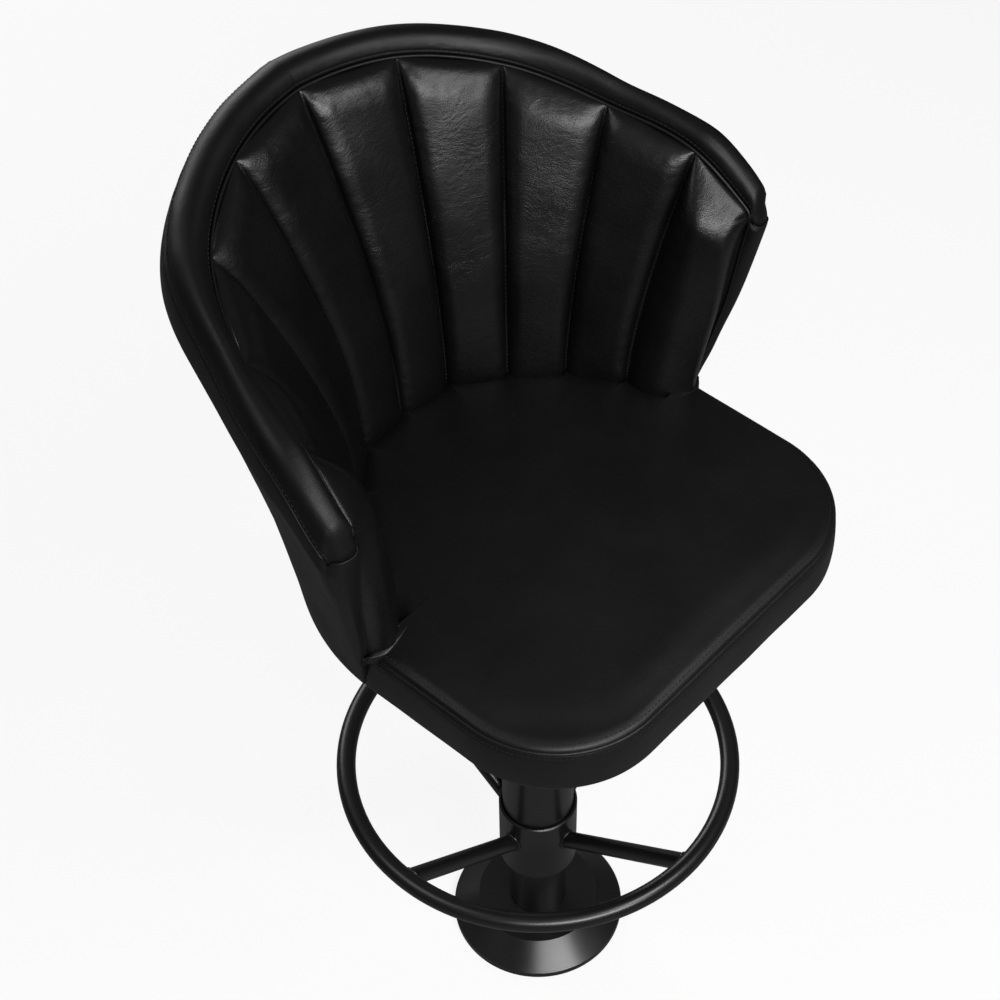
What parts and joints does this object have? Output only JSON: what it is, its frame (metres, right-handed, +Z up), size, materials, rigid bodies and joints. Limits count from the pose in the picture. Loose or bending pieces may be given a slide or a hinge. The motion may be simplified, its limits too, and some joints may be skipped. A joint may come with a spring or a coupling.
{
  "type": "swivel bar stool",
  "caption": "Swivel bar stool with a fluted tub back, a crowned seat, a pedestal column and a ring footrest on raking bars.",
  "frame": {"origin": "on the column's axis at floor level, in the middle of the floor plate's underside", "axes": "+Z up along the column; the sitter faces -Y, so the back of the tub is at +Y; +X is the side of the sitter's left arm"},
  "size_m": [0.6034, 0.5884, 1.105],
  "materials": {
    "black_leather": "semi-gloss black leather with a fine grain",
    "black_metal": "satin black powder coat",
    "bare_steel": "plain machined steel",
    "bush_plastic": "natural nylon",
    "plywood": "bare birch plywood",
    "foam": "open-cell upholstery foam",
    "lining_cloth": "black non-woven lining"
  },
  "bodies": {
    "base": {"base_cover": "black_metal", "bearing_balls": "bare_steel", "fixed_post": "black_metal", "floor_plate": "black_metal", "footrest_hub": "black_metal", "footrest_ring": "black_metal", "footrest_spoke_1": "black_metal", "footrest_spoke_2": "black_metal", "footrest_spoke_3": "black_metal", "footrest_spoke_4": "black_metal", "lower_race": "bare_steel", "spindle_nut": "bare_steel", "spindle_plug": "bare_steel", "spindle_washer": "bare_steel"},
    "seat": {"arm_facing_left": "black_leather", "arm_facing_right": "black_leather", "arm_welt_left": "black_leather", "arm_welt_right": "black_leather", "back_foam": "foam", "back_shell": "plywood", "channel_pad_1": "black_leather", "channel_pad_10": "black_leather", "channel_pad_2": "black_leather", "channel_pad_3": "black_leather", "channel_pad_4": "black_leather", "channel_pad_5": "black_leather", "channel_pad_6": "black_leather", "channel_pad_7": "black_leather", "channel_pad_8": "black_leather", "channel_pad_9": "black_leather", "column_head": "bare_steel", "dust_cover": "lining_cloth", "lower_bush": "bush_plastic", "outer_back_cover": "black_leather", "plate_gussets": "black_metal", "rim_roll_left": "black_leather", "rim_roll_right": "black_leather", "rim_welt": "black_leather", "seat_board": "plywood", "seat_bolts": "bare_steel", "seat_border": "black_leather", "seat_column": "black_metal", "seat_cushion": "black_leather", "seat_foam": "foam", "seat_plate": "black_metal", "seat_welt": "black_leather", "tee_nuts": "bare_steel", "upper_bush": "bush_plastic", "upper_race": "bare_steel"}
  },
  "joints": [
    {"name": "seat_swivel", "type": "hinge", "parent": "base", "child": "seat", "pos_m": [0, 0, 0.605], "axis": [0, 0, 1], "continuous": true}
  ]
}
